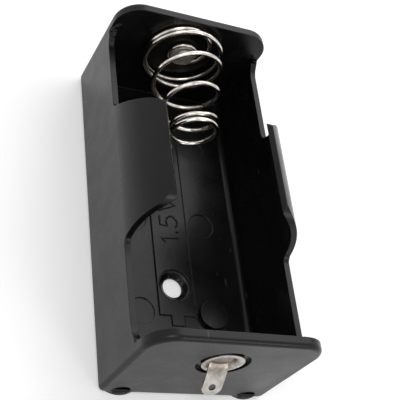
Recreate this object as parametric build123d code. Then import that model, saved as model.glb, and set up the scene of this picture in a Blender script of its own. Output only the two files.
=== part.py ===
"""Open cell holder for one R20 (34.2 x 61.5 mm) cell, with solder lugs.

A moulded tray holds the cell between a riveted contact in its near end
wall and a conical wire spring riveted to its far end wall. A stamped lug
sits in a round recess outside each end wall, where its rivet clinches it.

Frame: +Z up, origin in the middle of the bottom, Y along the cell.
The near end, with the positive contact, lies at -Y. Millimetres.
"""

import os
from math import atan, atan2, cos, pi, sin, sqrt, tan

from build123d import *

# Cell that the tray is made for
cell_diameter = 34.2
cell_length = 61.5
cell_side_clearance = 0.1
contact_room = 11.6

# Tray walls
side_wall = 1.3
end_wall = 2.2
floor_thickness = 1.9
end_wall_height = 28.6
end_corner_radius = 5.9
bottom_corner_radius = 1.4
floor_cove_radius = 1.6
edge_round = 1.0

# Side walls: low stretches, and the lips that lean in over the cell
low_wall_height = 19.0
lip_bend_height = 21.0
lip_height = 28.6
lip_overhang = 5.0
lip_bend_radius = 4.0
near_gap_length = 21.5
lip_length = 31.4
lip_near_slant = 3.0
lip_far_slant = 1.6
lip_near_corner_radius = 4.5
lip_far_corner_radius = 2.6
lip_corner_rise = 0.6
notch_corner_radius = 1.8
wall_sweep_radius = 4.0

# Floor details
strip_width = 8.8
strip_depth = 0.2
strip_near_gap = 14.2
strip_far_gap = 9.0
key_width = 3.4
key_length = 2.3
mark_spacing = 16.6
mark_depth = 0.3
mark_radius = 3.0
deep_mark_radius = 3.4
deep_mark_depth = 0.6
mark_gaps = (15.0, 37.2, 58.0)

# Screw hole through the floor
screw_gap = 21.5
screw_radius = 2.3
screw_head_radius = 3.6
screw_cone_depth = 1.1

# Stub feet on the near end wall, with a pocket over each
foot_spacing = 28.0
foot_width = 4.6
foot_projection = 0.5
foot_height = 1.4
pocket_radius = 1.8
pocket_depth = 1.0
pocket_sill = 1.7

# Contacts, lugs and rivets
contact_height = 18.4
recess_radius = 6.0
recess_depth = 0.7
sheet = 0.4
lug_radius = 4.4
lug_rim_width = 0.95
dish_depth = 1.1
dish_floor_radius = 2.3
lug_seat_clearance = 0.05
tab_width = 4.2
tab_angle = 42.0
tab_reach = 8.2
tab_root = 2.5
solder_hole_radius = 0.85
rivet_radius = 1.5
rivet_clearance = 0.05
clinch_radius = 2.1
clinch_thickness = 0.35
clinch_taper = 0.17
clinch_bore_radius = 0.8
clinch_bore_depth = 1.2
contact_head_radius = 4.0
contact_head_thickness = 0.9
spring_head_radius = 2.9
spring_head_thickness = 0.8
head_round = 0.35

# Contact spring
wire_diameter = 1.0
eye_radius = 3.0
spring_base_radius = 8.8
spring_tip_radius = 5.2
spring_free_length = 23.5
wire_seat_clearance = 0.08
eye_turns = 0.8
spiral_turns = 0.55
base_turns = 1.25
base_pitch = 1.1
active_turns = 2.65
tip_turns = 1.25
tip_pitch = 1.5
stretches_per_turn = 6
direction_step = 0.02
wire_sides = 8

# Places worked out from the sizes above
bay_width = cell_diameter + 2 * cell_side_clearance
bay_length = cell_length + contact_room
tray_width = bay_width + 2 * side_wall
tray_length = bay_length + 2 * end_wall
half_width = tray_width / 2
half_length = tray_length / 2
near_face = -half_length
near_inner = near_face + end_wall
far_face = half_length
far_inner = far_face - end_wall
lip_near_foot = near_inner + near_gap_length
lip_far_foot = lip_near_foot + lip_length
wire_radius = wire_diameter / 2
margin = 2.0


def section_plane(y):
    """Plane across the tray at y, with X to the right and Z up."""
    return Plane(origin=(0, y, 0), x_dir=(1, 0, 0), z_dir=(0, -1, 0))


def side_plane(x):
    """Plane along the tray at x, with Y to the right and Z up."""
    return Plane(origin=(x, 0, 0), x_dir=(0, 1, 0), z_dir=(1, 0, 0))


def rounded_face(plane, points, radii):
    """Face inside a closed outline that has a radius at each corner."""
    return make_face(plane * FilletPolyline(*points, radius=radii, close=True))


def mirrored(points):
    """Closed outline from its right half, listed from the bottom up."""
    return points + [(-x, z) for x, z in reversed(points)]


def mirrored_radii(radii):
    """Radii in the same order as the points of a mirrored outline."""
    return radii + list(reversed(radii))


def end_wall_outline(y):
    """Outline of an end wall: upright sides and large top corners."""
    right = [(half_width, 0), (half_width, end_wall_height)]
    radii = [bottom_corner_radius, end_corner_radius]
    return rounded_face(section_plane(y), mirrored(right), mirrored_radii(radii))


def wall_section():
    """Section through the floor, the side walls and the lips over them."""
    lean = atan2(lip_overhang, lip_height - lip_bend_height)
    lip_x = half_width - lip_overhang
    outer = [(half_width, 0), (half_width, lip_bend_height), (lip_x, lip_height)]
    outer_radii = [bottom_corner_radius, lip_bend_radius, 0]
    inner_bend = (half_width - side_wall, lip_bend_height - side_wall * tan(lean / 2))
    inner_tip = (lip_x - side_wall * cos(lean), lip_height - side_wall * sin(lean))
    inner = [
        (half_width - side_wall, floor_thickness),
        inner_bend,
        inner_tip,
        (lip_x, lip_height),
        (lip_x, lip_height + margin),
    ]
    inner_radii = [floor_cove_radius, lip_bend_radius - side_wall, 0, 0, 0]
    plane = section_plane(near_inner)
    solid = rounded_face(plane, mirrored(outer), mirrored_radii(outer_radii))
    hollow = rounded_face(plane, mirrored(inner), mirrored_radii(inner_radii))
    return solid - hollow


def side_cut(wall_y, foot_y, slant, corner_radius):
    """Cutter for the low stretch between an end wall and a lip, both sides."""
    top = lip_height + lip_corner_rise
    toward_lip = 1 if foot_y > wall_y else -1
    lip_top_y = foot_y + toward_lip * slant
    past_corner_y = lip_top_y + toward_lip * (corner_radius + margin)
    points = [
        (wall_y, low_wall_height),
        (foot_y, low_wall_height),
        (lip_top_y, top),
        (past_corner_y, top),
        (past_corner_y, top + margin),
        (wall_y, top + margin),
    ]
    radii = [wall_sweep_radius, notch_corner_radius, corner_radius, 0, 0, 0]
    face = rounded_face(side_plane(-half_width - margin), points, radii)
    return extrude(face, amount=tray_width + 2 * margin, dir=(1, 0, 0))


def end_wall_solid(y):
    """End wall from its outer face at y, with that face's edges rounded."""
    inward = 1 if y < 0 else -1
    wall = extrude(end_wall_outline(y), amount=end_wall, dir=(0, inward, 0))
    rim = wall.faces().sort_by(Axis.Y)[0 if y < 0 else -1].edges()
    return fillet(rim, edge_round)


def terminal_plane(y):
    """Plane in an end wall's recess floor, its Z pointing out of the tray."""
    outward = -1 if y < 0 else 1
    seat_y = y - outward * recess_depth
    return Plane(origin=(0, seat_y, contact_height), x_dir=(-outward, 0, 0), z_dir=(0, outward, 0))


def turned(points):
    """Solid turned about Z from an outline given as radius and height."""
    outline = Plane.XZ * Polyline(*points, close=True)
    return revolve(make_face(outline), axis=Axis.Z)


def dish_slope():
    """Rise over run of the dish wall, from its floor to the rim."""
    return dish_depth / (lug_radius - lug_rim_width - dish_floor_radius)


def terminal_seat():
    """Cutter for one lug: round recess, dish funnel and rivet hole."""
    rim_inner = lug_radius - lug_rim_width + lug_seat_clearance
    floor_z = -dish_depth - lug_seat_clearance
    dish_floor = dish_floor_radius + lug_seat_clearance
    hole = rivet_radius + rivet_clearance
    return turned([
        (0, recess_depth + margin),
        (recess_radius, recess_depth + margin),
        (recess_radius, 0),
        (rim_inner, 0),
        (dish_floor, floor_z),
        (hole, floor_z),
        (hole, -end_wall - margin),
        (0, -end_wall - margin),
    ])


def floor_y(gap):
    """Place along the floor, measured from the near end wall."""
    return near_inner + gap


def floor_cuts():
    """Shallow sunk strip, key, ejector marks and the screw hole."""
    strip_length = bay_length - strip_near_gap - strip_far_gap
    strip_top = floor_thickness + margin
    strip_y = floor_y(strip_near_gap) + strip_length / 2
    key_y = floor_y(strip_near_gap) - key_length / 2
    depth = strip_depth + margin
    strip = Pos(0, strip_y, strip_top - depth / 2) * Box(strip_width, strip_length, depth)
    key = Pos(0, key_y, strip_top - depth / 2) * Box(key_width, key_length, depth)
    cuts = strip + key + screw_cut()
    for gap in mark_gaps:
        for side in (-1, 1):
            deep = gap == mark_gaps[0] and side == 1
            radius = deep_mark_radius if deep else mark_radius
            sink = deep_mark_depth if deep else mark_depth
            z = floor_thickness - sink + (sink + margin) / 2
            place = Pos(side * mark_spacing / 2, floor_y(gap), z)
            cuts += place * Cylinder(radius, sink + margin)
    return cuts


def screw_cut():
    """Countersunk screw hole, cut from the sunk strip down."""
    top = floor_thickness - strip_depth
    neck = top - screw_cone_depth
    profile = turned([
        (0, -margin),
        (screw_radius, -margin),
        (screw_radius, neck),
        (screw_head_radius, top),
        (screw_head_radius, top + margin),
        (0, top + margin),
    ])
    return Pos(0, floor_y(screw_gap), 0) * profile


def near_feet():
    """Two low half-round stubs at the bottom of the near end wall."""
    arc_radius = (foot_width**2 / 4 + foot_projection**2) / (2 * foot_projection)
    centre_y = near_face - foot_projection + arc_radius
    root = end_wall / 2
    depth = foot_projection + root
    slab = Pos(0, near_face + root - depth / 2, foot_height / 2)
    slab = slab * Box(tray_width, depth, foot_height)
    feet = Part()
    for side in (-1, 1):
        place = Pos(side * foot_spacing / 2, centre_y, foot_height / 2)
        feet += place * Cylinder(arc_radius, foot_height)
    return feet & slab


def near_pockets():
    """Cutters for the half-round pockets over the feet."""
    half_round = Circle(pocket_radius)
    half_round -= Pos(0, -pocket_radius) * Rectangle(2 * pocket_radius, 2 * pocket_radius)
    cuts = Part()
    for side in (-1, 1):
        place = section_plane(near_face - margin) * Pos(side * foot_spacing / 2, pocket_sill)
        cuts += extrude(place * half_round, amount=margin + pocket_depth, dir=(0, 1, 0))
    return cuts


def holder_body():
    """Moulded tray: floor, lipped side walls and two end walls."""
    tray = extrude(wall_section(), amount=bay_length, dir=(0, 1, 0))
    tray -= side_cut(near_inner, lip_near_foot, lip_near_slant, lip_near_corner_radius)
    tray -= side_cut(far_inner, lip_far_foot, lip_far_slant, lip_far_corner_radius)
    tray += end_wall_solid(near_face)
    tray += end_wall_solid(far_face)
    tray += near_feet()
    tray -= near_pockets()
    tray -= floor_cuts()
    tray -= terminal_plane(near_face) * terminal_seat()
    tray -= terminal_plane(far_face) * terminal_seat()
    return tray


def lug_disc():
    """Round of the lug: flat rim, dished middle and rivet hole."""
    rim_inner = lug_radius - lug_rim_width
    hole = rivet_radius + rivet_clearance
    shift = sheet * tan(atan(dish_slope()) / 2)
    return turned([
        (hole, -dish_depth),
        (dish_floor_radius, -dish_depth),
        (rim_inner, 0),
        (lug_radius, 0),
        (lug_radius, sheet),
        (rim_inner - shift, sheet),
        (dish_floor_radius - shift, sheet - dish_depth),
        (hole, sheet - dish_depth),
    ])


def above_lug_seat():
    """Room over the underside of the disc, which the tab's root keeps to."""
    reach = tab_reach + margin
    return turned([
        (0, -dish_depth),
        (dish_floor_radius, -dish_depth),
        (lug_radius - lug_rim_width, 0),
        (reach, 0),
        (reach, reach),
        (0, reach),
    ])


def lug_tab():
    """Solder tab: a straight strip that leaves the dish over its rim."""
    root_z = sheet - dish_depth + (tab_root - dish_floor_radius) * dish_slope()
    length = (tab_reach - tab_root) / cos(tab_angle * pi / 180)
    end = tab_width / 2
    blank = Pos(0, -(length - end) / 2) * Rectangle(tab_width, length - end)
    blank += Pos(0, -(length - end)) * Circle(end)
    blank -= Pos(0, -(length - end)) * Circle(solder_hole_radius)
    strip = extrude(blank, amount=sheet)
    tab = Pos(0, -tab_root, root_z) * Rot(-tab_angle, 0, 0) * strip
    return tab & above_lug_seat()


def terminal(y):
    """Stamped lug: disc and solder tab in one sheet, seated outside a wall."""
    return terminal_plane(y) * (lug_disc() + lug_tab())


def rivet(y, head_radius, head_thickness, stand_off):
    """Rivet from inside the tray, clinched in the dish of the lug."""
    under_head = -(end_wall - recess_depth) - stand_off
    seat = sheet - dish_depth
    top = seat + clinch_thickness
    bore_floor = top - clinch_bore_depth
    profile = turned([
        (0, under_head - head_thickness),
        (head_radius - head_round, under_head - head_thickness),
        (head_radius, under_head - head_thickness + head_round),
        (head_radius, under_head),
        (rivet_radius, under_head),
        (rivet_radius, seat),
        (clinch_radius, seat),
        (clinch_radius - clinch_taper, top),
        (clinch_bore_radius, top),
        (clinch_bore_radius, bore_floor),
        (0, bore_floor),
    ])
    return terminal_plane(y) * profile


def ease(share):
    """Smooth step from 0 to 1."""
    share = min(max(share, 0), 1)
    return share * share * (3 - 2 * share)


def spring_point(turn):
    """Centre of the wire, counted in turns from the eye round the rivet."""
    spiral_end = eye_turns + spiral_turns
    coil_start = spiral_end + base_turns
    coil_end = coil_start + active_turns
    growth = ease((turn - eye_turns) / spiral_turns)
    shrink = min(max((turn - coil_start) / active_turns, 0), 1)
    radius = eye_radius + (spring_base_radius - eye_radius) * growth
    radius += (spring_tip_radius - spring_base_radius) * shrink
    ends_rise = base_turns * base_pitch + tip_turns * tip_pitch
    coil_rise = spring_free_length - wire_diameter - ends_rise
    rise = base_pitch * min(max(turn - spiral_end, 0), base_turns)
    rise += coil_rise * shrink
    rise += tip_pitch * max(turn - coil_end, 0)
    angle = 2 * pi * turn
    y = far_inner - wire_seat_clearance - wire_radius - rise
    return (radius * cos(angle), y, contact_height + radius * sin(angle))


def wire_direction(turn):
    """Direction of the wire at a count of turns."""
    ahead = Vector(*spring_point(turn + direction_step))
    behind = Vector(*spring_point(turn - direction_step))
    return (ahead - behind).normalized()


def tangent_arcs(start, end):
    """Two arcs between counts of turns, tangent to the wire and each other."""
    first = Vector(*spring_point(start))
    last = Vector(*spring_point(end))
    first_way = wire_direction(start)
    last_way = wire_direction(end)
    span = last - first
    along = span.dot(first_way + last_way)
    bend = 2 * (1 - first_way.dot(last_way))
    reach = (sqrt(along**2 + bend * span.dot(span)) - along) / bend
    before = first + first_way * reach
    after = last - last_way * reach
    middle = (before + after) / 2
    return [
        TangentArc(first, middle, tangent=first_way),
        TangentArc(middle, last, tangent=after - before),
    ]


def contact_spring():
    """Conical spring of one wire, from its eye to its closed tip turns."""
    turns = eye_turns + spiral_turns + base_turns + active_turns + tip_turns
    count = round(turns * stretches_per_turn)
    arcs = []
    for index in range(count):
        arcs += tangent_arcs(turns * index / count, turns * (index + 1) / count)
    path = Wire(arcs)
    outline = RegularPolygon(wire_radius, wire_sides, major_radius=False)
    return sweep(Plane(origin=path @ 0, z_dir=path % 0) * outline, path=path)


def build():
    """Every piece of the holder, by name."""
    return {
        "holder_body": holder_body(),
        "contact_spring": contact_spring(),
        "spring_rivet": rivet(
            far_face,
            spring_head_radius,
            spring_head_thickness,
            wire_diameter + 2 * wire_seat_clearance,
        ),
        "negative_lug": terminal(far_face),
        "positive_rivet": rivet(near_face, contact_head_radius, contact_head_thickness, 0),
        "positive_lug": terminal(near_face),
    }


os.makedirs("parts", exist_ok=True)
for name, piece in build().items():
    export_step(piece, f"parts/{name}.step")
    print(name, round(piece.volume, 2), piece.bounding_box())
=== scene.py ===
# %% [markdown]
# # An open holder for one cylindrical cell
#
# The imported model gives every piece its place. This lesson dresses it: the
# moulded tray gets curled lips and the finish of moulded plastic, and the
# metal pieces are built again with softer forms than a solid modeller gives
# them. The tray lies on a table with its open side up. The cell would lie
# along Y, and the spring presses on it from the far end, at positive Y.

# %% Load the frame
from math import cos, pi, radians, sin, tan

import bpy
from mathutils import Matrix, Vector


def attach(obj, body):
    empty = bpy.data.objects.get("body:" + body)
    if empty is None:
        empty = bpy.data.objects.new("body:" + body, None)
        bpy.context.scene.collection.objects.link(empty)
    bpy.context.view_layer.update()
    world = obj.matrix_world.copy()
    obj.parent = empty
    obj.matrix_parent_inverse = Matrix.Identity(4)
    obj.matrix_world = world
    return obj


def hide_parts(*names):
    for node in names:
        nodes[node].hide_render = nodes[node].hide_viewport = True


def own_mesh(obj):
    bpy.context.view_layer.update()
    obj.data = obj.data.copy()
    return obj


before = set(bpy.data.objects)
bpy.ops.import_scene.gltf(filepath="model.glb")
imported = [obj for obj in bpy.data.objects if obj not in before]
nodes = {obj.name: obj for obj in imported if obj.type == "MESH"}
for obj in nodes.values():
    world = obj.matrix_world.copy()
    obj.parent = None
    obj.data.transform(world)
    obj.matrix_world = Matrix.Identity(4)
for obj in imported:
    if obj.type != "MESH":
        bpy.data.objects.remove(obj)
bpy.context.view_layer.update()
MM = 0.001
print("nodes:", sorted(nodes))

# %% [markdown]
# ## Helpers
#
# Blender's operators act on all that is selected, and the imported nodes come
# in selected. So everything is let go before each new piece. Sizes are written
# in millimetres and turned to metres at the moment they are used.

# %% Small helpers
MERGE_DISTANCE = 0.002


def clear_selection():
    """Let go of everything, in object mode."""
    if bpy.context.object and bpy.context.object.mode != "OBJECT":
        bpy.ops.object.mode_set(mode="OBJECT")
    bpy.ops.object.select_all(action="DESELECT")


def hold(piece):
    """Make one piece the only selected and active one."""
    clear_selection()
    piece.select_set(True)
    bpy.context.view_layer.objects.active = piece


def smooth(piece, degrees):
    """Smooth shading that keeps edges sharper than the angle."""
    hold(piece)
    bpy.ops.object.shade_smooth_by_angle(angle=radians(degrees))


def close_up(piece):
    """Merge doubled points and turn all faces outwards."""
    hold(piece)
    bpy.ops.object.mode_set(mode="EDIT")
    bpy.ops.mesh.select_all(action="SELECT")
    bpy.ops.mesh.remove_doubles(threshold=MERGE_DISTANCE * MM)
    bpy.ops.mesh.normals_make_consistent(inside=False)
    bpy.ops.object.mode_set(mode="OBJECT")
    return piece


def paint(piece, material):
    """Give a piece one material and say how large its mesh is."""
    piece.data.materials.clear()
    piece.data.materials.append(material)
    print(piece.name, len(piece.data.polygons), "faces,", material.name)


# %% [markdown]
# ## Colours and nodes
#
# Colours are written as sRGB hex values, as a paint chart gives them, and one
# function turns them to the linear values that the shader wants. Patterns come
# from noise on Object coordinates, which are metres here, so a count of cells
# to the millimetre gives the noise its scale.

# %% Colour and node helpers
def linear(hex_colour):
    """Linear RGBA of an sRGB hex colour."""
    values = []
    for index in (0, 2, 4):
        share = int(hex_colour[index:index + 2], 16) / 255
        values.append(share / 12.92 if share <= 0.04045 else ((share + 0.055) / 1.055) ** 2.4)
    return (*values, 1.0)


def grey(value):
    """Grey colour for a ramp that drives a plain number."""
    return (value, value, value, 1.0)


def new_material(name):
    """Node material, with its tree and its shader."""
    material = bpy.data.materials.new(name)
    material.use_nodes = True
    tree = material.node_tree
    return material, tree, tree.nodes["Principled BSDF"]


def add_node(tree, kind, settings=(), inputs=()):
    """One node with its settings, and its inputs set or linked."""
    node = tree.nodes.new(kind)
    for key, value in dict(settings).items():
        setattr(node, key, value)
    for key, value in dict(inputs).items():
        if isinstance(value, bpy.types.NodeSocket):
            tree.links.new(value, node.inputs[key])
        else:
            node.inputs[key].default_value = value
    return node


def add_ramp(tree, factor, stops):
    """Colour ramp over a factor, with two stops of place and colour."""
    node = tree.nodes.new("ShaderNodeValToRGB")
    tree.links.new(factor, node.inputs["Fac"])
    for element, (place, colour) in zip(node.color_ramp.elements, stops):
        element.position, element.color = place, colour
    return node.outputs["Color"]


def noise(tree, place, cells_per_mm, detail):
    """Noise with so many cells to the millimetre."""
    node = add_node(tree, "ShaderNodeTexNoise", {}, {
        "Vector": place, "Scale": cells_per_mm / MM, "Detail": detail,
    })
    return node.outputs["Fac"]


def reckon(tree, operation, *values):
    """Result of one sum on numbers or sockets."""
    node = add_node(tree, "ShaderNodeMath", {"operation": operation}, dict(enumerate(values)))
    return node.outputs["Value"]


def mix_colours(tree, share, low, high):
    """Colour between two colours or sockets."""
    node = add_node(tree, "ShaderNodeMix", {"data_type": "RGBA"}, {"Factor": share, "A": low, "B": high})
    return node.outputs["Result"]


def bump(tree, strength, distance, height, inputs=()):
    """Normal that follows a height; distance in mm."""
    node = add_node(tree, "ShaderNodeBump", {}, {
        "Strength": strength, "Distance": distance * MM, "Height": height, **dict(inputs),
    })
    return node.outputs["Normal"]


print("sRGB 808080 is linear", round(linear("808080")[0], 3))

# %% [markdown]
# ## Moulded black plastic
#
# The tray is one moulding in black polypropylene. Its mould was spark eroded,
# so the walls carry a fine grain, about three cells to the millimetre. The
# plastic flows a little unevenly, which shows as faint soft clouds in the
# gloss. Use leaves pale dust, rubbed edges and a few short scuffs. The scuffs
# are noise stretched along Y, and the turn after it only picks which of them
# fall on the tray. A Bevel node rounds the shading at each edge. Where its
# normal leaves the face's own, there is an edge to rub.

# %% Dust, rubbed edges and scuffs
SPECKS_PER_MM = 1.9
DUST_SHARE = 0.08
RUB_SHARES = (0.10, 0.34)
SCUFFS_PER_MM = 1.5
SCUFF_SHARE = 0.16
SCUFF_STRETCH = (1.0, 0.12, 1.0)
SCUFF_TURN = (0.3, 0.2, 0.5)


def edge_share(tree, rounded_normal):
    """1 along the edges and 0 on the flats."""
    flat = add_node(tree, "ShaderNodeNewGeometry").outputs["Normal"]
    same = add_node(tree, "ShaderNodeVectorMath", {"operation": "DOT_PRODUCT"}, {0: rounded_normal, 1: flat})
    return add_ramp(tree, same.outputs["Value"], [(0.72, grey(1.0)), (0.97, grey(0.0))])


def pale_share(tree, place, cloud, edge):
    """How far dust, rubbing or a scuff pales the plastic."""
    speck = noise(tree, place, SPECKS_PER_MM, 2.0)
    dust = add_ramp(tree, speck, [(0.70, grey(0.0)), (0.80, grey(DUST_SHARE))])
    stretched = add_node(tree, "ShaderNodeMapping", {}, {
        "Vector": place, "Scale": SCUFF_STRETCH, "Rotation": SCUFF_TURN,
    })
    streak = noise(tree, stretched.outputs["Vector"], SCUFFS_PER_MM, 1.0)
    scuff = add_ramp(tree, streak, [(0.75, grey(0.0)), (0.79, grey(SCUFF_SHARE))])
    worn = add_ramp(tree, cloud, [(0.42, grey(RUB_SHARES[0])), (0.62, grey(RUB_SHARES[1]))])
    rub = reckon(tree, "MULTIPLY", edge, worn)
    return reckon(tree, "MAXIMUM", reckon(tree, "MAXIMUM", dust, rub), scuff)


scuff_width = 1 / SCUFFS_PER_MM
print("a scuff, mm:", round(scuff_width, 2), "wide,", round(scuff_width / SCUFF_STRETCH[1], 1), "long")

# %% [markdown]
# The body colour, the roughness and a wide, shallow wave all follow the same
# clouds, as they do on a real moulding, and the grain lies over the wave. The
# real walls mirror little of what stands straight before them, so the specular
# level is below its default. The index is that of polypropylene.

# %% Material of the tray
GRAIN_PER_MM = 3.2
GRAIN_HEIGHT = 0.05
GRAIN_STRENGTH = 0.22
CLOUDS_PER_MM = 0.16
WAVE_HEIGHT = 0.4
WAVE_STRENGTH = 0.12
EDGE_ROUND = 0.22
PLASTIC_INDEX = 1.49
PLASTIC_SPECULAR = 0.24


def plastic_material(name, light, dark, pale, roughness):
    """Black moulded plastic with grain, clouds in the gloss, and dust."""
    material, tree, shader = new_material(name)
    place = add_node(tree, "ShaderNodeTexCoord").outputs["Object"]
    cloud = noise(tree, place, CLOUDS_PER_MM, 4.0)
    body = add_ramp(tree, cloud, [(0.3, linear(dark)), (0.7, linear(light))])
    soft = add_node(tree, "ShaderNodeBevel", {"samples": 6}, {"Radius": EDGE_ROUND * MM})
    soft_normal = soft.outputs["Normal"]
    share = pale_share(tree, place, cloud, edge_share(tree, soft_normal))
    tree.links.new(mix_colours(tree, share, body, linear(pale)), shader.inputs["Base Color"])
    rough = add_ramp(tree, cloud, [(0.3, grey(roughness - 0.05)), (0.7, grey(roughness + 0.07))])
    tree.links.new(rough, shader.inputs["Roughness"])
    wave = bump(tree, WAVE_STRENGTH, WAVE_HEIGHT, cloud, {"Normal": soft_normal})
    grain = noise(tree, place, GRAIN_PER_MM, 3.0)
    relief = bump(tree, GRAIN_STRENGTH, GRAIN_HEIGHT, grain, {"Normal": wave})
    tree.links.new(relief, shader.inputs["Normal"])
    shader.inputs["IOR"].default_value = PLASTIC_INDEX
    shader.inputs["Specular IOR Level"].default_value = PLASTIC_SPECULAR
    return material


tray_plastic = plastic_material(
    "moulded_black_polypropylene", light="121212", dark="0b0b0b", pale="8a8884", roughness=0.27
)
print("tray finish:", tray_plastic.name)

# %% [markdown]
# ## Plated metal
#
# The spring is drawn steel wire with bright nickel plating: a sharp, slightly
# warm mirror with fine marks. The lugs are steel sheet dipped in tin: greyer
# and softer in their gloss, with a mottle of a millimetre or so and fine
# scratches. The rivets are nickel-plated brass, tumbled to a satin. A brown
# painted reflection darkens the dish of a lug and the rivet's tail in it, where
# the real dish shows dark reflections. It is worked out from the distance to
# the rivets' axis, and the mottle makes its edge wander. It stays on the outer
# side of the end walls, clear of the rivets' heads.

# %% Materials of the metal pieces
AXIS_Z = 18.4
# These numbers place a brown painted reflection in the dish of each lug and on the rivets' tails.
PAINTED_REFLECTION_CORE = 3.2
PAINTED_REFLECTION_EDGE = 4.6
PAINTED_REFLECTION_WANDER = 1.6
PAINTED_REFLECTION_FROM_Y = 37.2
PAINTED_REFLECTION_STRENGTH = 0.75
PAINTED_REFLECTION_COLOUR = "5d5246"
SCRATCH_HEIGHT = 0.04


def with_painted_reflection(tree, place, mottle, tone):
    """Tone with a brown painted reflection near the rivets' axis, on the outer side of the end walls."""
    across = add_node(tree, "ShaderNodeVectorMath", {"operation": "MULTIPLY"}, {0: place, 1: (1, 0, 1)})
    away = add_node(tree, "ShaderNodeVectorMath", {"operation": "DISTANCE"}, {
        0: across.outputs["Vector"], 1: (0.0, 0.0, AXIS_Z * MM),
    })
    reach = reckon(tree, "MULTIPLY_ADD", mottle, PAINTED_REFLECTION_WANDER * MM, away.outputs["Value"])
    share = add_node(tree, "ShaderNodeMapRange", {}, {
        "Value": reach, "From Min": PAINTED_REFLECTION_CORE * MM, "From Max": PAINTED_REFLECTION_EDGE * MM,
        "To Min": PAINTED_REFLECTION_STRENGTH, "To Max": 0.0,
    })
    along = add_node(tree, "ShaderNodeSeparateXYZ", {}, {"Vector": place}).outputs["Y"]
    outside = reckon(tree, "GREATER_THAN", reckon(tree, "ABSOLUTE", along), PAINTED_REFLECTION_FROM_Y * MM)
    share = reckon(tree, "MULTIPLY", share.outputs["Result"], outside)
    return mix_colours(tree, share, tone, linear(PAINTED_REFLECTION_COLOUR))


def metal_material(name, base, shade, roughness, mottle_per_mm, scratch, scratches_per_mm, painted_reflection=False):
    """Plated metal: two tones in clouds, uneven gloss, and fine scratches."""
    material, tree, shader = new_material(name)
    place = add_node(tree, "ShaderNodeTexCoord").outputs["Object"]
    mottle = noise(tree, place, mottle_per_mm, 4.0)
    tone = add_ramp(tree, mottle, [(0.35, linear(shade)), (0.62, linear(base))])
    # Brown painted reflection in the dish, for the lugs and the rivets.
    if painted_reflection:
        tone = with_painted_reflection(tree, place, mottle, tone)
    tree.links.new(tone, shader.inputs["Base Color"])
    rough = add_ramp(tree, mottle, [(0.3, grey(roughness + 0.08)), (0.7, grey(roughness - 0.03))])
    tree.links.new(rough, shader.inputs["Roughness"])
    fine = bump(tree, scratch, SCRATCH_HEIGHT, noise(tree, place, scratches_per_mm, 3.0))
    tree.links.new(fine, shader.inputs["Normal"])
    shader.inputs["Metallic"].default_value = 1.0
    return material


bright_wire = metal_material(
    "bright_nickel_plated_wire", base="e4e0da", shade="b9b1a8", roughness=0.14,
    mottle_per_mm=0.7, scratch=0.10, scratches_per_mm=5.0,
)
tinned_sheet = metal_material(
    "tinned_steel_sheet", base="bfbcb6", shade="a8a199", roughness=0.28,
    mottle_per_mm=0.9, scratch=0.12, scratches_per_mm=4.2, painted_reflection=True,
)
plated_rivet = metal_material(
    "nickel_plated_rivet", base="dcd4cb", shade="b3a698", roughness=0.36,
    mottle_per_mm=0.8, scratch=0.03, scratches_per_mm=4.2, painted_reflection=True,
)
print("metal finishes:", bright_wire.name, tinned_sheet.name, plated_rivet.name)

# %% [markdown]
# ## The contact spring
#
# One wire makes an eye round the rivet, winds out flat to a base turn against
# the far wall, comes out along the cell's axis in open turns that narrow, and
# ends in closed tip turns. A Screw modifier keeps one radius and one pitch, so
# it can't make this. Here one function gives the wire's centre at each count
# of turns, so radius and pitch are free. The turns are spaced for a wire of
# 1 mm, as in the solid model.

# %% Winding of the spring
WIRE_DIAMETER = 1.0
WALL_Y = 36.55
SEAT_CLEARANCE = 0.08
EYE_RADIUS = 3.0
BASE_RADIUS = 8.8
TIP_RADIUS = 5.2
FREE_LENGTH = 23.5
EYE_TURNS = 0.8
SPIRAL_TURNS = 0.55
BASE_TURNS = 1.25
BASE_PITCH = 1.1
ACTIVE_TURNS = 2.65
TIP_TURNS = 1.25
TIP_PITCH = 1.5
ALL_TURNS = EYE_TURNS + SPIRAL_TURNS + BASE_TURNS + ACTIVE_TURNS + TIP_TURNS


def clamp(share):
    """Share held between 0 and 1."""
    return min(max(share, 0.0), 1.0)


def ease(share):
    """Smooth step from 0 to 1."""
    share = clamp(share)
    return share * share * (3 - 2 * share)


def winding(turn):
    """Centre of the wire, in metres, at a count of turns from the eye."""
    spiral_end = EYE_TURNS + SPIRAL_TURNS
    coil_start = spiral_end + BASE_TURNS
    coil_end = coil_start + ACTIVE_TURNS
    growth = ease((turn - EYE_TURNS) / SPIRAL_TURNS)
    shrink = clamp((turn - coil_start) / ACTIVE_TURNS)
    radius = EYE_RADIUS + (BASE_RADIUS - EYE_RADIUS) * growth
    radius += (TIP_RADIUS - BASE_RADIUS) * shrink
    ends_rise = BASE_TURNS * BASE_PITCH + TIP_TURNS * TIP_PITCH
    rise = BASE_PITCH * min(max(turn - spiral_end, 0.0), BASE_TURNS)
    rise += (FREE_LENGTH - WIRE_DIAMETER - ends_rise) * shrink
    rise += TIP_PITCH * max(turn - coil_end, 0)
    angle = 2 * pi * turn
    y = WALL_Y - SEAT_CLEARANCE - WIRE_DIAMETER / 2 - rise
    return Vector((radius * cos(angle), y, AXIS_Z + radius * sin(angle))) * MM


print("tip of the wire, mm:", [round(value / MM, 1) for value in winding(ALL_TURNS)])

# %% [markdown]
# A poly curve follows the winding, and its round bevel makes the wire, with
# flat closed ends like those that a wire cutter leaves. In the photograph the
# wire looks a touch thicker than it measures, so it is drawn at 1.1 mm.

# %% Wire along the winding
WIRE_LOOK = 1.1
POINTS_PER_TURN = 44


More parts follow.
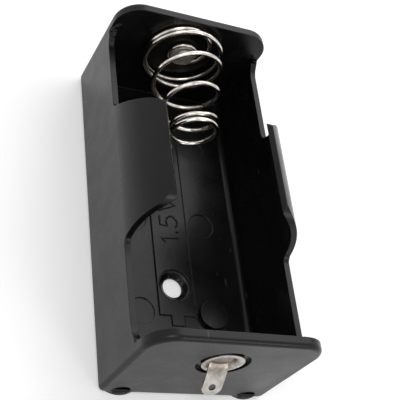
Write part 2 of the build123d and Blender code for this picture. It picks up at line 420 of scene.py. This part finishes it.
def route_curve(name, points, radius, resolution):
    """Round wire along points in metres, as a mesh with closed ends; radius in mm."""
    clear_selection()
    bpy.ops.curve.primitive_nurbs_path_add()
    wire = bpy.context.object
    wire.name = name
    route = wire.data
    route.splines.clear()
    line = route.splines.new("POLY")
    line.points.add(len(points) - 1)
    for point, place in zip(line.points, points):
        point.co = (*place, 1.0)
    route.dimensions = "3D"
    route.bevel_depth = radius * MM
    route.bevel_resolution = resolution
    route.use_fill_caps = True
    wire.location = (0, 0, 0)
    hold(wire)
    bpy.ops.object.convert(target="MESH")
    return close_up(wire)


point_count = round(ALL_TURNS * POINTS_PER_TURN)
wire_points = [winding(ALL_TURNS * index / point_count) for index in range(point_count + 1)]
spring_wire = route_curve("spring_wire", wire_points, WIRE_LOOK / 2, 6)
smooth(spring_wire, 50)
paint(spring_wire, bright_wire)

# %% [markdown]
# ## Turned and pressed rounds
#
# Rivets and the dish of a lug are round, so each starts as a circle that is
# extruded ring by ring along a short profile. Two rings close together keep an
# edge crisp, and rings far apart make it soft. The profiles are drawn about Z,
# and a matrix then turns them to an end wall, at a depth under its outer face.

# %% Round pieces from a profile
END_FACE_Y = 38.75
RECESS_DEPTH = 0.7
ROUND_SEGMENTS = 48


def seat_matrix(side, depth):
    """Frame on the cell's axis, at a depth in mm under an end face, with Z out of the tray."""
    origin = Vector((0, side * (END_FACE_Y - depth), AXIS_Z)) * MM
    across = Vector((-side, 0, 0))
    outward = Vector((0, side, 0))
    up = outward.cross(across)
    turn = Matrix((across, up, outward)).transposed().to_4x4()
    return Matrix.Translation(origin) @ turn


def ring_by_ring(name, profile, closed_end):
    """Piece made by extruding a circle along radius and height pairs, in mm."""
    clear_selection()
    radius, height = profile[0]
    bpy.ops.mesh.primitive_circle_add(
        vertices=ROUND_SEGMENTS, radius=radius * MM, location=(0, 0, height * MM)
    )
    piece = bpy.context.object
    piece.name = name
    bpy.ops.object.transform_apply(location=True)
    bpy.ops.object.mode_set(mode="EDIT")
    bpy.ops.mesh.select_all(action="SELECT")
    for next_radius, next_height in profile[1:]:
        bpy.ops.mesh.extrude_region_move()
        share = next_radius / radius
        bpy.ops.transform.resize(value=(share, share, 1), center_override=(0, 0, 0))
        bpy.ops.transform.translate(value=(0, 0, (next_height - height) * MM))
        radius, height = next_radius, next_height
    if closed_end:
        bpy.ops.mesh.select_all(action="SELECT")
        bpy.ops.mesh.fill_holes(sides=0)
    bpy.ops.object.mode_set(mode="OBJECT")
    return close_up(piece)


print("seat of the near rivet:", seat_matrix(-1, RECESS_DEPTH).translation)

# %% [markdown]
# ## Solder lugs
#
# Each lug is stamped from 0.4 mm tinned sheet: a flat bright rim, a middle that
# is dished into the wall, and a tab. The dish is one more round profile, drawn
# from the rim to the hole for the rivet. It eases in and out of its slope, as
# a press tool leaves it, and has no thickness yet.

# %% Dish of a lug
LUG_RADIUS = 4.25
RIM_INNER = 3.4
DISH_FLOOR = 2.3
DISH_DEPTH = 0.9
DISH_STEPS = 6
RIVET_HOLE = 1.55
RIM_EDGE = 0.12
RIM_FLAT = 0.18
HOLE_EDGE = 0.15


def dish(name):
    """Flat rim and smooth dish, as a sheet without thickness."""
    profile = [(LUG_RADIUS, 0.0), (LUG_RADIUS - RIM_EDGE, 0.0), (RIM_INNER + RIM_FLAT, 0.0)]
    for step in range(DISH_STEPS + 1):
        share = step / DISH_STEPS
        radius = RIM_INNER + (DISH_FLOOR - RIM_INNER) * share
        profile.append((radius, -DISH_DEPTH * ease(share)))
    profile.append((RIVET_HOLE + HOLE_EDGE, -DISH_DEPTH))
    profile.append((RIVET_HOLE, -DISH_DEPTH))
    return ring_by_ring(name, profile, closed_end=False)


print("dish of a lug, mm:", 2 * RIM_INNER, "across,", DISH_DEPTH, "deep")

# %% [markdown]
# The tab ends round, with a hole for the wire. It has to bend later, so it is
# drawn flat with rows across it: a ring for the hole and the round end, whose
# half towards the root is then extruded back in short steps. Flat, it is
# longer than its reach, as the cosine of its mean rise of 36 degrees says.

# %% Flat tab of a lug
TAB_WIDTH = 4.2
TAB_SEGMENTS = 32
TAB_ROWS = 16
SOLDER_HOLE = 0.75
TAB_ROOT = 1.2
HOLE_REACH = 5.66
TAB_MEAN_RISE = radians(36)
TAB_RUN = (HOLE_REACH - TAB_ROOT) / cos(TAB_MEAN_RISE)
OUTER_RING = 0.9
SLACK = 1e-4


def select_half_ring(mesh, radius):
    """Select the half at positive Y of the outer ring, which has the radius in mm."""
    for vertex in mesh.vertices:
        in_half = vertex.co.y > -SLACK * MM
        vertex.select = in_half and vertex.co.length > OUTER_RING * radius * MM
    for edge in mesh.edges:
        edge.select = all(mesh.vertices[index].select for index in edge.vertices)
    for face in mesh.polygons:
        face.select = False


def flat_tab(name):
    """Flat tab with a round end, its hole at the origin and its root at positive Y."""
    clear_selection()
    bpy.ops.mesh.primitive_circle_add(vertices=TAB_SEGMENTS, radius=SOLDER_HOLE * MM)
    piece = bpy.context.object
    piece.name = name
    bpy.ops.object.mode_set(mode="EDIT")
    bpy.ops.mesh.select_all(action="SELECT")
    bpy.ops.mesh.extrude_region_move()
    share = TAB_WIDTH / 2 / SOLDER_HOLE
    bpy.ops.transform.resize(value=(share, share, 1), center_override=(0, 0, 0))
    bpy.ops.object.mode_set(mode="OBJECT")
    select_half_ring(piece.data, TAB_WIDTH / 2)
    bpy.ops.object.mode_set(mode="EDIT")
    bpy.ops.mesh.select_mode(type="EDGE")
    for _ in range(TAB_ROWS):
        bpy.ops.mesh.extrude_region_move()
        bpy.ops.transform.translate(value=(0, TAB_RUN / TAB_ROWS * MM, 0))
    bpy.ops.mesh.select_mode(type="VERT")
    bpy.ops.object.mode_set(mode="OBJECT")
    for vertex in piece.data.vertices:
        vertex.co.y = min(vertex.co.y, TAB_RUN * MM)
    return piece


print("flat tab, mm:", round(TAB_RUN + TAB_WIDTH / 2, 2), "long,", TAB_WIDTH, "wide")

# %% [markdown]
# The tab starts sunk in the dish, rises over the rim, and flattens on its way:
# about 43 degrees from the wall past its root and about 25 at its end. Its
# height over the rim is a straight slope less a share of its reach squared,
# both counted from the hole, and an ease brings it up out of the dish.

# %% Bend of the tab
TAB_SLOPE = 1.117
TAB_FLATTENING = 0.0417
TAB_ROOT_BEND = 1.0
HOLE_HEIGHT = 2.77


def tab_height(reach):
    """Height of the tab's underside over the rim's, at a reach from the axis."""
    line = HOLE_HEIGHT + (reach - HOLE_REACH) * TAB_SLOPE
    line -= TAB_FLATTENING * (reach ** 2 - HOLE_REACH ** 2)
    return (line + DISH_DEPTH) * ease((reach - TAB_ROOT) / TAB_ROOT_BEND) - DISH_DEPTH


def bend_tab(piece):
    """Bend the flat tab: it starts sunk in the dish and rises over the rim."""
    for vertex in piece.data.vertices:
        reach = TAB_ROOT + (TAB_RUN - vertex.co.y / MM) * cos(TAB_MEAN_RISE)
        vertex.co.y = -reach * MM
        vertex.co.z = tab_height(reach) * MM
    close_up(piece)
    if sum(face.normal.z for face in piece.data.polygons) < 0:
        piece.data.flip_normals()
    return piece


print("end of the tab, mm:", round(tab_height(HOLE_REACH + TAB_WIDTH / 2), 2), "over the rim")

# %% [markdown]
# A Solidify modifier gives the sheet its thickness once it has its form, and a
# Bevel modifier softens the sheared edges. One level of subdivision rounds the
# dish. The tab does without it, since its rows are close enough.

# %% Thickness of a sheet
SHEET = 0.4
SHEET_EDGE = 0.07


def soften_edges(piece, width, segments, degrees):
    """Bevel modifier on the edges sharper than the angle; width in mm."""
    edges = piece.modifiers.new("soft_edges", "BEVEL")
    edges.width = width * MM
    edges.segments = segments
    edges.limit_method = "ANGLE"
    edges.angle_limit = radians(degrees)


def finish_modifiers(piece):
    """Apply every modifier in order."""
    hold(piece)
    for modifier in list(piece.modifiers):
        bpy.ops.object.modifier_apply(modifier=modifier.name)
    return piece


def press_sheet(piece, levels):
    """Give a sheet its thickness, softened edges and a smooth surface."""
    solid = piece.modifiers.new("thickness", "SOLIDIFY")
    solid.thickness = SHEET * MM
    solid.offset = 1.0
    soften_edges(piece, SHEET_EDGE, 2, 50)
    if levels:
        skin = piece.modifiers.new("smooth_skin", "SUBSURF")
        skin.levels = levels
        skin.render_levels = levels
    finish_modifiers(piece)
    return close_up(piece)


print("sheet, mm:", SHEET, "thick")

# %% [markdown]
# The dish and the tab are joined where the tab's root sinks into the dish. On
# the real part the dish meets the funnel in the wall first, so the rim lies a
# little off the floor of its recess.

# %% Lugs in their recesses
RIM_DEPTH = 0.35


def join(pieces):
    """Make several pieces one, under the first one's name."""
    hold(pieces[0])
    for piece in pieces[1:]:
        piece.select_set(True)
    bpy.ops.object.join()
    return bpy.context.object


def lug(name, side):
    """Solder lug seated in the recess of one end wall."""
    disc = press_sheet(dish(name), 1)
    tab = press_sheet(bend_tab(flat_tab(name + "_tab")), 0)
    piece = join([disc, tab])
    piece.data.transform(seat_matrix(side, RIM_DEPTH))
    smooth(piece, 40)
    paint(piece, tinned_sheet)
    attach(piece, "tray")
    return piece


near_lug = lug("dished_lug_near", -1)
far_lug = lug("dished_lug_far", 1)
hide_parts("positive_lug")
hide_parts("negative_lug")

# %% [markdown]
# ## Rivets
#
# Each rivet is one turned piece: a head inside the tray, a shank through the
# wall, and a tail that is clinched down in the dish. The one at the spring has
# a domed head on a flat flange, which holds the wire's eye. The other's head is
# flat, because the cap of the cell presses on it. A profile says all of that
# with a few rings, from the head's middle to the tail's.

# %% Rivets from their profiles
CLINCH = [(1.5, -0.15), (2.1, -0.15), (2.1, -0.03), (1.85, 0.13), (1.2, 0.22), (0.3, 0.25)]
SPRING_RIVET = [
    (0.25, -3.85), (0.9, -3.76), (1.5, -3.5), (1.92, -3.16), (2.1, -2.98), (2.6, -2.93),
    (2.85, -2.87), (2.9, -2.78), (2.9, -2.66), (1.5, -2.66),
]
CONTACT_RIVET = [(0.3, -2.42), (3.2, -2.4), (3.75, -2.3), (4.0, -2.0), (4.0, -1.5), (1.5, -1.5)]


def rivet(name, side, head, replaced):
    """Turned rivet in one end wall, from its head to its clinched tail."""
    piece = ring_by_ring(name, head + CLINCH, closed_end=True)
    piece.data.transform(seat_matrix(side, RECESS_DEPTH))
    smooth(piece, 40)
    paint(piece, plated_rivet)
    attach(piece, "tray")
    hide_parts(replaced)


rivet("domed_spring_rivet", 1, SPRING_RIVET, "spring_rivet")
rivet("flat_contact_rivet", -1, CONTACT_RIVET, "positive_rivet")

# %% [markdown]
# ## Relief on the floor
#
# A low strip runs along the floor with a key at its near end. It stands only
# 0.12 mm over the floor, so its edges show as thin dark lines. It could be
# extruded from a drawn outline. Plain blocks joined and cut with booleans are
# simpler, and are how a mould maker would cut it. They start a little under
# the floor, so that the strip grows out of it without a gap.

# %% Strip and key
FLOOR_Z = 1.9
STRIP_Z = (1.6, FLOOR_Z + 0.12)
STRIP_X = (-4.15, 4.15)
STRIP_Y = (-22.1, 27.3)
KEY_X = (-1.45, 1.45)
KEY_Y = (-24.4, -21.0)


def settle(piece):
    """Put the piece's place into its mesh, so that its object is at the origin."""
    hold(piece)
    bpy.ops.object.transform_apply(location=True, rotation=True, scale=True)
    return piece


def block(name, *ranges):
    """Box from its three ranges in mm."""
    clear_selection()
    centre = [(low + high) / 2 * MM for low, high in ranges]
    bpy.ops.mesh.primitive_cube_add(size=1.0, location=centre)
    piece = bpy.context.object
    piece.name = name
    piece.scale = [(high - low) * MM for low, high in ranges]
    return settle(piece)


def combine(piece, other, operation):
    """Boolean of two pieces, applied; the second one is used up."""
    step = piece.modifiers.new("combine", "BOOLEAN")
    step.operation = operation
    step.object = other
    finish_modifiers(piece)
    bpy.data.objects.remove(other)


strip = block("floor_strip", STRIP_X, STRIP_Y, STRIP_Z)
combine(strip, block("key", KEY_X, KEY_Y, STRIP_Z), "UNION")
print("strip and key:", len(strip.data.polygons), "faces")

# %% [markdown]
# A round boss stands 1.15 mm over the floor beside the strip, and the strip
# keeps clear of the countersunk screw hole. Both are upright cylinders: one is
# shown, the other is cut away. Then all the relief gets softened edges.

# %% Screw hole and boss
SCREW_HOLE = (0, -15.05)
SCREW_ROOM = 3.75
SCREW_ROOM_Z = (0.5, 4.0)
BOSS = (8.3, -21.55)
BOSS_RADIUS = 3.35
BOSS_Z = (1.1, FLOOR_Z + 1.15)
CYLINDER_SEGMENTS = 72
RELIEF_EDGE = 0.05


def cylinder(name, centre, radius, z_range):
    """Upright cylinder in mm."""
    low, high = z_range
    clear_selection()
    bpy.ops.mesh.primitive_cylinder_add(
        vertices=CYLINDER_SEGMENTS, radius=radius * MM, depth=(high - low) * MM,
        location=(centre[0] * MM, centre[1] * MM, (low + high) / 2 * MM),
    )
    piece = bpy.context.object
    piece.name = name
    return settle(piece)


def plastic_relief(piece):
    """Soft edges and the tray's plastic on a piece of the floor's relief."""
    soften_edges(piece, RELIEF_EDGE, 2, 40)
    finish_modifiers(piece)
    smooth(piece, 10)
    paint(piece, tray_plastic)
    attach(piece, "tray")


combine(strip, cylinder("hole", SCREW_HOLE, SCREW_ROOM, SCREW_ROOM_Z), "DIFFERENCE")
plastic_relief(strip)
plastic_relief(cylinder("floor_boss", BOSS, BOSS_RADIUS, BOSS_Z))

# %% [markdown]
# ## Lips
#
# The lips of the moulding curl in over the cell along an arc, and they stand a
# little higher than the end walls. Two outlines say all of their form: the
# section of the wall across the tray, and the outline of the lip from the side.
# Each outline is made a prism, and what the two prisms share is the lip.

# %% Outlines with rounded corners
CORNER_STEPS = 12


def rounded(points, radii):
    """Outline in mm whose corners have radii, with short steps round each."""
    outline = []
    for index, radius in enumerate(radii):
        corner = Vector(points[index])
        before = (Vector(points[index - 1]) - corner).normalized()
        after = (Vector(points[(index + 1) % len(points)]) - corner).normalized()
        if radius == 0:
            outline.append(corner)
            continue
        half = before.angle(after) / 2
        reach = radius / tan(half)
        middle = corner + (before + after).normalized() * radius / sin(half)
        first = corner + before * reach - middle
        sweep = first.angle_signed(corner + after * reach - middle)
        for step in range(CORNER_STEPS + 1):
            outline.append(middle + Matrix.Rotation(-sweep * step / CORNER_STEPS, 2) @ first)
    return outline


def prism(name, outline, span, across, up):
    """Solid with an outline in mm, drawn across and up, over a span in depth."""
    clear_selection()
    bpy.ops.curve.primitive_bezier_circle_add()
    piece = bpy.context.object
    piece.name = name
    shape = piece.data
    shape.splines.clear()
    loop = shape.splines.new("POLY")
    loop.points.add(len(outline) - 1)
    for point, (u, v) in zip(loop.points, outline):
        point.co = (u * MM, v * MM, 0.0, 1.0)
    loop.use_cyclic_u = True
    shape.dimensions = "2D"
    shape.fill_mode = "BOTH"
    low, high = span
    shape.extrude = (high - low) / 2 * MM
    piece.location = (0, 0, 0)
    hold(piece)
    bpy.ops.object.convert(target="MESH")
    depth = across.cross(up)
    turn = Matrix((across, up, depth)).transposed().to_4x4()
    piece.data.transform(Matrix.Translation(depth * (low + high) / 2 * MM) @ turn)
    return close_up(piece)


square = rounded([(0, 0), (4, 0), (4, 4), (0, 4)], [1, 1, 1, 1])
print("a square with round corners has", len(square), "points")

# %% [markdown]
# In the section, the wall goes straight up to the start of the curl and then
# round an arc of 57 degrees. From the side, a lip rises from the low wall in a
# slant at each end, with wide corners at the top. At the far end, the lip at
# positive X stops about a millimetre before the other.

# %% Lips
HALF_WIDTH = 18.5
WALL = 1.3
LOW_WALL = 19.0
CURL_START = 19.5
CURL_RADIUS = 13.65
CURL_ANGLE = 57.0
CURL_STEPS = 24
SECTION_FOOT = 18.0
SECTION_SPAN = (-23.0, 24.0)
LIP_TOP = 31.4
LIP_FOOT = 17.0
LIP_ENDS = (-21.0, 22.0)
NEAR_SLANT_FOOT = -15.0
OUTLINE_SPAN = (-25.0, 25.0)
LIP_RADII = [0, 0, 1.8, 5.5, 4.5, 1.8, 0, 0]
LIP_EDGE = 0.22
ACROSS = Vector((1, 0, 0))
ALONG = Vector((0, 1, 0))
UP = Vector((0, 0, 1))


def curl(radius, angles):
    """Points of the lip's section at a radius about the curl's middle."""
    middle = HALF_WIDTH - CURL_RADIUS
    return [(middle + radius * cos(angle), CURL_START + radius * sin(angle)) for angle in angles]


def lip_section():
    """Section of the lip at positive X."""
    angles = [radians(CURL_ANGLE) * step / CURL_STEPS for step in range(CURL_STEPS + 1)]
    section = [(HALF_WIDTH, SECTION_FOOT)] + curl(CURL_RADIUS, angles)
    return section + curl(CURL_RADIUS - WALL, reversed(angles)) + [(HALF_WIDTH - WALL, SECTION_FOOT)]


def lip_outline(near_top, far_top, far_foot):
    """Outline of a lip from the side, from where its slants start and end along Y."""
    near_end, far_end = LIP_ENDS
    points = [
        (near_end, LIP_FOOT), (near_end, LOW_WALL), (NEAR_SLANT_FOOT, LOW_WALL), (near_top, LIP_TOP),
        (far_top, LIP_TOP), (far_foot, LOW_WALL), (far_end, LOW_WALL), (far_end, LIP_FOOT),
    ]
    return rounded(points, LIP_RADII)


def lips():
    """Both curled lips, with rounded corners and soft edges."""
    section = lip_section()
    mirrored = [(-x, z) for x, z in reversed(section)]
    right = lip_outline(near_top=-11.4, far_top=10.7, far_foot=15.2)
    left = lip_outline(near_top=-11.0, far_top=11.7, far_foot=16.4)
    pair = []
    for shape, outline in ((section, right), (mirrored, left)):
        lip = prism("lip", shape, SECTION_SPAN, ACROSS, UP)
        combine(lip, prism("outline", outline, OUTLINE_SPAN, ALONG, UP), "INTERSECT")
        pair.append(lip)
    piece = join(pair)
    soften_edges(piece, LIP_EDGE, 3, 40)
    return finish_modifiers(piece)


print("section of a lip: z from", SECTION_FOOT, "to", round(max(z for x, z in lip_section()), 2), "mm")

# %% [markdown]
# ## The tray
#
# The real tray is one moulding, so the lips must grow out of it without a
# seam. A copy of the node's mesh is cut down to just under the low walls' tops
# between two places along its length, and the lips are joined to it there. The
# recess round each lug is 0.7 mm deep, so its points lie past 37.9 mm from the
# tray's middle, and they are drawn in by a tenth. Then the flat faces are made
# whole again, so that a Weighted Normal modifier can let each wall shade evenly
# and leave the turn of the light to the rounded edges.

# %% Tray with its lips
LIP_ROOM = ((-30, 30), (-20, 21), (18.6, 40))
RECESS_FROM_Y = 37.9
FUNNEL_EDGE = 4.7
RECESS_LIMIT = 7.0
RECESS_SHARE = 0.9
FLAT = 0.99999
FLAT_TURN = 0.5


def narrow_recesses(piece):
    """Draw the edges of both recesses in towards the rivets' axis."""
    for vertex in piece.data.vertices:
        across, up = vertex.co.x, vertex.co.z - AXIS_Z * MM
        away = (across ** 2 + up ** 2) ** 0.5
        if abs(vertex.co.y) > RECESS_FROM_Y * MM and FUNNEL_EDGE * MM < away < RECESS_LIMIT * MM:
            vertex.co.x = across * RECESS_SHARE
            vertex.co.z = AXIS_Z * MM + up * RECESS_SHARE
    return piece


def merge_flat_faces(piece):
    """Make one face of each flat area that faces along an axis."""
    for face in piece.data.polygons:
        face.select = max(abs(share) for share in face.normal) > FLAT
    bpy.ops.object.mode_set(mode="EDIT")
    bpy.ops.mesh.select_mode(type="FACE")
    bpy.ops.mesh.dissolve_limited(angle_limit=radians(FLAT_TURN))
    bpy.ops.object.mode_set(mode="OBJECT")


def even_shading(piece):
    """Let the large faces decide the normals at smooth edges."""
    smooth(piece, 35)
    normals = piece.modifiers.new("even_normals", "WEIGHTED_NORMAL")
    normals.weight = 100
    normals.keep_sharp = True
    finish_modifiers(piece)


def moulded_tray():
    """Tray with curled lips, in place of the plain one."""
    piece = bpy.data.objects.new("moulded_tray", nodes["holder_body"].data.copy())
    bpy.context.scene.collection.objects.link(piece)
    close_up(narrow_recesses(piece))
    combine(piece, block("lip_room", *LIP_ROOM), "DIFFERENCE")
    combine(piece, lips(), "UNION")
    close_up(piece)
    merge_flat_faces(piece)
    even_shading(piece)
    paint(piece, tray_plastic)
    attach(piece, "tray")
    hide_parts("holder_body")


moulded_tray()

# %% [markdown]
# ## The voltage marking
#
# A plain marking, 1.5 V, stands on the strip and reads away from the positive
# end. A font would bring its own shapes and many faces. Strokes with a round
# section, half sunk in the strip, look like the hand-cut marks of such moulds.

# %% Strokes of the marking
STROKE_RADIUS = 0.24
ONE = [(-1.1, -4.7), (-2.1, -3.8), (2.2, -3.4)]
POINT = [(1.6, -1.95), (2.25, -1.85)]
FIVE = [
    (-2.1, 1.9), (-2.1, -0.4), (-0.3, -0.5), (-0.55, 0.5), (-0.3, 1.5), (0.5, 2.1), (1.4, 1.9),
    (2.1, 1.0), (2.15, 0.1), (1.7, -0.6),
]
VEE = [(-2.1, 3.3), (2.2, 5.0), (-2.1, 6.9)]


def stroke(points):
    """One raised stroke along points on the strip."""
    places = [(x * MM, y * MM, STRIP_Z[1] * MM) for x, y in points]
    return route_curve("marking", places, STROKE_RADIUS, 3)


marking = join([stroke(points) for points in (ONE, POINT, FIVE, VEE)])
smooth(marking, 40)
paint(marking, tray_plastic)
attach(marking, "tray")

# %% [markdown]
# ## Floor and light
#
# The holder lies on a white table. The table glows a little for the camera, in
# reflections and through clear things, so that it looks white without more
# light on the holder, and it still takes the holder's shadow.

# %% Floor
FLOOR_SIZE = 6000
FLOOR_DROP = 0.02
FLOOR_GLOW = 0.27


def seen_share(tree):
    """1 for what the camera sees, directly, in gloss or through glass, and 0 for other rays."""
    path = add_node(tree, "ShaderNodeLightPath").outputs
    seen = reckon(tree, "MAXIMUM", path["Is Camera Ray"], path["Is Glossy Ray"])
    return reckon(tree, "MAXIMUM", seen, path["Is Transmission Ray"])


def stage_floor():
    """Large white table top just under the tray."""
    clear_selection()
    bpy.ops.mesh.primitive_plane_add(size=FLOOR_SIZE * MM, location=(0, 0, -FLOOR_DROP * MM))
    floor = bpy.context.object
    floor.name = "white_table"
    material, tree, shader = new_material("white_table_top")
    shader.inputs["Base Color"].default_value = linear("fafafa")
    shader.inputs["Roughness"].default_value = 0.9
    shader.inputs["Emission Color"].default_value = (1, 1, 1, 1)
    glow = reckon(tree, "MULTIPLY", seen_share(tree), FLOOR_GLOW)
    tree.links.new(glow, shader.inputs["Emission Strength"])
    paint(floor, material)


stage_floor()

# %% [markdown]
# The room is white too, and lights the holder less than it shows. Three
# softboxes stand where a photographer would put them for a black part: a small
# one low in front for the edges, one above, and a wide one behind, whose
# reflection lightens the floor of the tray.

# %% World and lamps
WORLD_LIGHT = 0.4
AIM = Vector((0, 0, 0.01))


def light_world():
    """White surroundings that light less than they show."""
    world = bpy.data.worlds.new("soft_studio")
    bpy.context.scene.world = world
    world.use_nodes = True
    tree = world.node_tree
    background = tree.nodes["Background"]
    strength = add_node(tree, "ShaderNodeMapRange", {}, {
        "Value": seen_share(tree), "To Min": WORLD_LIGHT, "To Max": 1.0,
    })
    tree.links.new(strength.outputs["Result"], background.inputs["Strength"])
    background.inputs["Color"].default_value = (1, 1, 1, 1)


def softbox(name, place, size, power):
    """Square lamp that looks at the holder; place and size in metres, power in watts."""
    clear_selection()
    bpy.ops.object.light_add(type="AREA", location=place)
    lamp = bpy.context.object
    lamp.name = name
    lamp.data.shape = "SQUARE"
    lamp.data.size = size
    lamp.data.energy = power
    lamp.rotation_mode = "QUATERNION"
    lamp.rotation_quaternion = (AIM - Vector(place)).to_track_quat("-Z", "Y")
    print(name, power, "W")


light_world()
softbox("key_softbox", (0.30, -0.53, 0.36), size=0.20, power=0.5)
softbox("top_softbox", (-0.25, -0.15, 0.65), size=0.3, power=1.1)
softbox("floor_softbox", (0.257, 0.296, 0.455), size=0.5, power=1.4)

# %% [markdown]
# ## Camera
#
# The camera stands where the photographer's did. Its place, its directions and
# its focal length, in pixels of a frame 400 pixels wide, were fitted to the
# corners and edges of the tray in the photograph.

# %% Camera
FOCAL_PIXELS = 871.015
FRAME_PIXELS = 400.0
SENSOR = 36.0
CAMERA_RIGHT = Vector((0.894915, -0.112667, 0.431780))
CAMERA_DOWN = Vector((0.127688, -0.862488, -0.489704))
CAMERA_FORWARD = Vector((0.427578, 0.493377, -0.757467))
CAMERA_PLACE = Vector((-77.825, -92.463, 155.556)) * MM


def place_camera():
    """Camera of the photograph."""
    data = bpy.data.cameras.new("photo_camera")
    camera = bpy.data.objects.new("photo_camera", data)
    bpy.context.scene.collection.objects.link(camera)
    data.sensor_width = SENSOR
    data.lens = FOCAL_PIXELS * SENSOR / FRAME_PIXELS
    data.clip_start = 0.01
    data.clip_end = 20
    columns = Matrix((CAMERA_RIGHT, -CAMERA_DOWN, -CAMERA_FORWARD)).transposed().to_4x4()
    camera.matrix_world = Matrix.Translation(CAMERA_PLACE) @ columns
    bpy.context.scene.camera = camera
    return camera


print("lens, mm:", round(place_camera().data.lens, 2))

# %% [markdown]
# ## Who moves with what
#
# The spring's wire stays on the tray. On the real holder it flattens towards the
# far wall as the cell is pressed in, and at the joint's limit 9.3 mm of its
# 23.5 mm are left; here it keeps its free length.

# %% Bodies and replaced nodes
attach(spring_wire, "tray")
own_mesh(spring_wire)
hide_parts("contact_spring")
print(spring_wire.name, "rides on the tray, free length", FREE_LENGTH, "mm")

# %% [markdown]
# ## How colours are shown
#
# Colours are shown as they are written.

# %% Colours as written
bpy.context.scene.view_settings.view_transform = "Standard"
